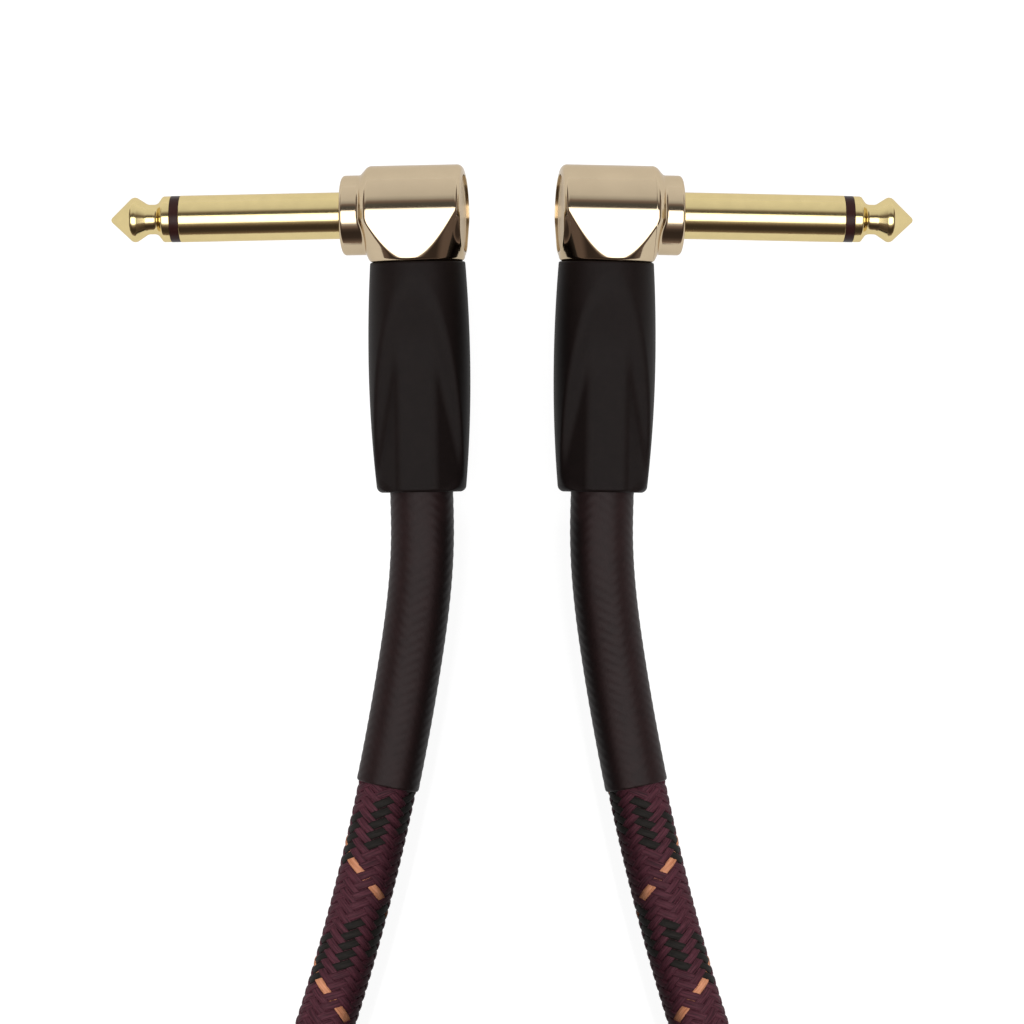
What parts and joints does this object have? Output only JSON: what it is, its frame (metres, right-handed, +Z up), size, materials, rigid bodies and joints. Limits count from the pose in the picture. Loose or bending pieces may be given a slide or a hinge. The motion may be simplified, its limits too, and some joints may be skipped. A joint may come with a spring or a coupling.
{
  "type": "instrument cable",
  "caption": "Short braided audio patch cable with a right-angle 1/4 inch phone plug moulded on each end, lying in one open loop.",
  "frame": {"origin": "on the surface that the cable lies on, midway between the two plugs, under the middle of the box round the plugs", "axes": "+X from the left plug's tip to the right plug's tip, +Y from the cable towards the plug housings, +Z up from the surface"},
  "size_m": [0.109, 0.1772, 0.0145],
  "materials": {
    "gold_contact": "polished gold plating",
    "housing_metal": "satin champagne nickel plating",
    "boot_rubber": "matt moulded",
    "heat_shrink": "satin shrunk tube",
    "braid": "braided polyester yarn, maroon with black and tan",
    "cable_jacket": "matt",
    "copper": "bare copper",
    "inner_insulation": "natural",
    "black_insulator": "turned, smooth",
    "solder": "bright solder",
    "fibre": "plain"
  },
  "bodies": {
    "root": {"left_tip_contact": "gold_contact", "left_tip_ring": "black_insulator", "left_rod_sleeve": "inner_insulation", "left_barrel": "gold_contact", "left_rear_washer": "black_insulator", "left_tip_lug": "gold_contact", "left_ground_lug": "gold_contact", "left_tip_solder": "solder", "left_ground_solder": "solder", "left_pigtail": "copper", "left_housing": "housing_metal", "left_back_cap": "housing_metal", "left_cap_insulator": "fibre", "left_ferrule": "gold_contact", "left_boot": "boot_rubber", "left_heat_shrink": "heat_shrink", "right_tip_contact": "gold_contact", "right_tip_ring": "black_insulator", "right_rod_sleeve": "inner_insulation", "right_barrel": "gold_contact", "right_rear_washer": "black_insulator", "right_tip_lug": "gold_contact", "right_ground_lug": "gold_contact", "right_tip_solder": "solder", "right_ground_solder": "solder", "right_pigtail": "copper", "right_housing": "housing_metal", "right_back_cap": "housing_metal", "right_cap_insulator": "fibre", "right_ferrule": "gold_contact", "right_boot": "boot_rubber", "right_heat_shrink": "heat_shrink", "cable_cover": "braid", "cable_jacket": "cable_jacket", "cable_screen": "copper", "cable_core": "inner_insulation", "cable_conductor": "copper"}
  },
  "joints": []
}
